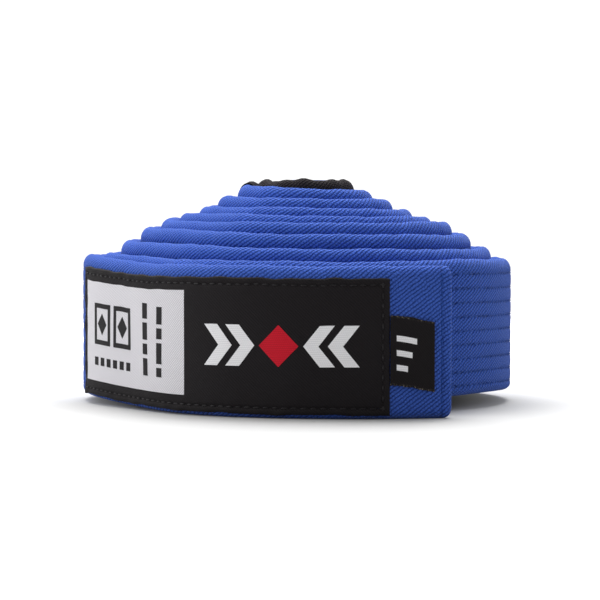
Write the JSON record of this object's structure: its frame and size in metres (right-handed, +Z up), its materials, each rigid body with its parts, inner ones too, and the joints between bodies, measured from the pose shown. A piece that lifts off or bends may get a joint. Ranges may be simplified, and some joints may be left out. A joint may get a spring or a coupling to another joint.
{
  "type": "martial arts belt",
  "caption": "Quilted cotton martial arts belt, rolled on edge into a stepped coil, with a sewn label on its free end, a size tab and a rank sleeve.",
  "frame": {"origin": "on the surface the rolled belt stands on, under the middle of its bounding box", "axes": "+Z up along the coil's axis, -Y towards the free end with the label, +X towards the belt's tip"},
  "size_m": [0.1366, 0.1508, 0.071],
  "materials": {
    "blue_twill": "matte cotton twill with lengthwise stitch rows",
    "core_batting": "matte unbleached cotton batting",
    "label_damask": "satin woven polyester ribbon",
    "rank_cotton": "matte black cotton twill",
    "black_thread": "slightly glossy polyester thread",
    "blue_thread": "slightly glossy polyester thread"
  },
  "bodies": {
    "turn_1": {"cover_turn_1": "blue_twill", "core_turn_1": "core_batting"},
    "outer_back": {"cover_outer_back": "blue_twill", "core_outer_back": "core_batting"},
    "free_end": {"cover_free_end": "blue_twill", "core_free_end": "core_batting", "label": "label_damask", "label_thread": "black_thread", "hem_thread": "blue_thread"},
    "size_tab": {"size_tab": "label_damask"},
    "turn_2": {"cover_turn_2": "blue_twill", "core_turn_2": "core_batting"},
    "turn_3": {"cover_turn_3": "blue_twill", "core_turn_3": "core_batting"},
    "turn_4": {"cover_turn_4": "blue_twill", "core_turn_4": "core_batting"},
    "turn_5": {"cover_turn_5": "blue_twill", "core_turn_5": "core_batting"},
    "turn_6": {"cover_turn_6": "blue_twill", "core_turn_6": "core_batting"},
    "turn_7": {"cover_turn_7": "blue_twill", "core_turn_7": "core_batting"},
    "turn_8": {"cover_turn_8": "blue_twill", "core_turn_8": "core_batting"},
    "turn_9": {"cover_turn_9": "blue_twill", "core_turn_9": "core_batting", "cover_inner_end": "blue_twill", "core_inner_end": "core_batting", "rank_sleeve": "rank_cotton"}
  },
  "joints": [
    {"name": "outer_turn_peel", "type": "hinge", "parent": "turn_1", "child": "outer_back", "pos_m": [0.05674, 0.0456, 0.0003], "axis": [0, 0, -1], "range_deg": [0, 25]},
    {"name": "free_end_peel", "type": "hinge", "parent": "outer_back", "child": "free_end", "pos_m": [-0.06257, 0.03536, 0], "axis": [0, 0, -1], "range_deg": [0, 70]},
    {"name": "size_tab_flap", "type": "hinge", "parent": "free_end", "child": "size_tab", "pos_m": [0.02792, -0.07419, 0.01], "axis": [0, 0, -1], "range_deg": [0, 110]},
    {"name": "turn_2_slide", "type": "slide", "parent": "turn_1", "child": "turn_2", "axis": [0, 0, 1], "range_m": [-0.0013, 0.0005]},
    {"name": "turn_3_slide", "type": "slide", "parent": "turn_2", "child": "turn_3", "axis": [0, 0, 1], "range_m": [-0.00311, 0.0012]},
    {"name": "turn_4_slide", "type": "slide", "parent": "turn_3", "child": "turn_4", "axis": [0, 0, 1], "range_m": [-0.00311, 0.0012]},
    {"name": "turn_5_slide", "type": "slide", "parent": "turn_4", "child": "turn_5", "axis": [0, 0, 1], "range_m": [-0.00311, 0.0012]},
    {"name": "turn_6_slide", "type": "slide", "parent": "turn_5", "child": "turn_6", "axis": [0, 0, 1], "range_m": [-0.00311, 0.0012]},
    {"name": "turn_7_slide", "type": "slide", "parent": "turn_6", "child": "turn_7", "axis": [0, 0, 1], "range_m": [-0.00311, 0.0012]},
    {"name": "turn_8_slide", "type": "slide", "parent": "turn_7", "child": "turn_8", "axis": [0, 0, 1], "range_m": [-0.00311, 0.0012]},
    {"name": "turn_9_slide", "type": "slide", "parent": "turn_8", "child": "turn_9", "axis": [0, 0, 1], "range_m": [-0.00311, 0.0012]}
  ],
  "couplings": [
    {"joint": "outer_turn_peel", "follows": "free_end_peel", "ratio": 0.35},
    {"joint": "turn_3_slide", "follows": "turn_2_slide", "ratio": 2.385},
    {"joint": "turn_4_slide", "follows": "turn_2_slide", "ratio": 2.385},
    {"joint": "turn_5_slide", "follows": "turn_2_slide", "ratio": 2.385},
    {"joint": "turn_6_slide", "follows": "turn_2_slide", "ratio": 2.385},
    {"joint": "turn_7_slide", "follows": "turn_2_slide", "ratio": 2.385},
    {"joint": "turn_8_slide", "follows": "turn_2_slide", "ratio": 2.385},
    {"joint": "turn_9_slide", "follows": "turn_2_slide", "ratio": 2.385}
  ]
}
